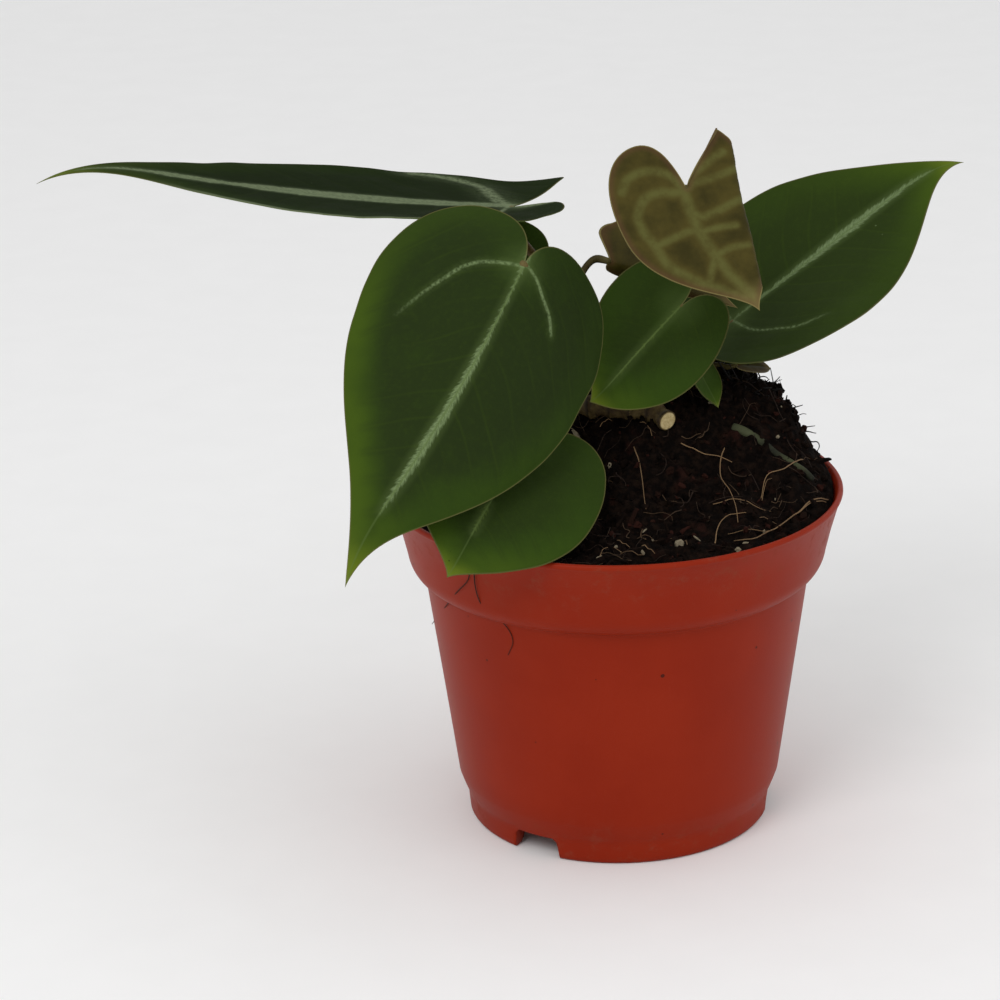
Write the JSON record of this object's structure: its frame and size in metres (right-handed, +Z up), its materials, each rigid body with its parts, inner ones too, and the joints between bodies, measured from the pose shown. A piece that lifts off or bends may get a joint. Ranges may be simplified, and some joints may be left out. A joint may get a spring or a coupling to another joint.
{
  "type": "potted anthurium",
  "caption": "A young anthurium with heart-shaped leaves and silver midribs, growing from a creeping rhizome in a terracotta-coloured plastic nursery pot",
  "frame": {"origin": "on the pot's axis, level with the surface that the pot stands on", "axes": "+Z up along the pot's axis; -Y is the front of the plant, the side the picture was taken from; the longest leaf reaches out along -X"},
  "size_m": [0.2464, 0.1558, 0.1844],
  "materials": {
    "pot_plastic": "thin moulded terracotta-coloured plastic, satin, with specks of dried soil",
    "soil": "loose dark peat and bark with pale root fibres and white specks, matt",
    "rhizome": "brown ringed bark with a pale cut face",
    "green_leaf": "dark velvety green above with a silver feathered midrib, lighter towards the edge, paler below",
    "bronze_leaf": "bronze young leaf with broad pale green veins and a pinkish edge",
    "stalk": "brown to green leaf stalk, satin"
  },
  "bodies": {
    "root": {"pot": "pot_plastic", "soil": "soil", "rhizome": "rhizome", "old_stalk": "rhizome", "long_leaf_blade": "green_leaf", "long_leaf_stalk": "stalk", "front_leaf_blade": "green_leaf", "front_leaf_stalk": "stalk", "right_leaf_blade": "green_leaf", "right_leaf_stalk": "stalk", "middle_leaf_blade": "green_leaf", "middle_leaf_stalk": "stalk", "rim_leaf_blade": "green_leaf", "rim_leaf_stalk": "stalk", "bronze_leaf_blade": "bronze_leaf", "bronze_leaf_stalk": "stalk", "bronze_rear_leaf_blade": "bronze_leaf", "bronze_rear_leaf_stalk": "stalk", "back_leaf_blade": "green_leaf", "back_leaf_stalk": "stalk", "bronze_low_leaf_blade": "bronze_leaf", "bronze_low_leaf_stalk": "stalk", "low_leaf_blade": "green_leaf", "low_leaf_stalk": "stalk"}
  },
  "joints": []
}
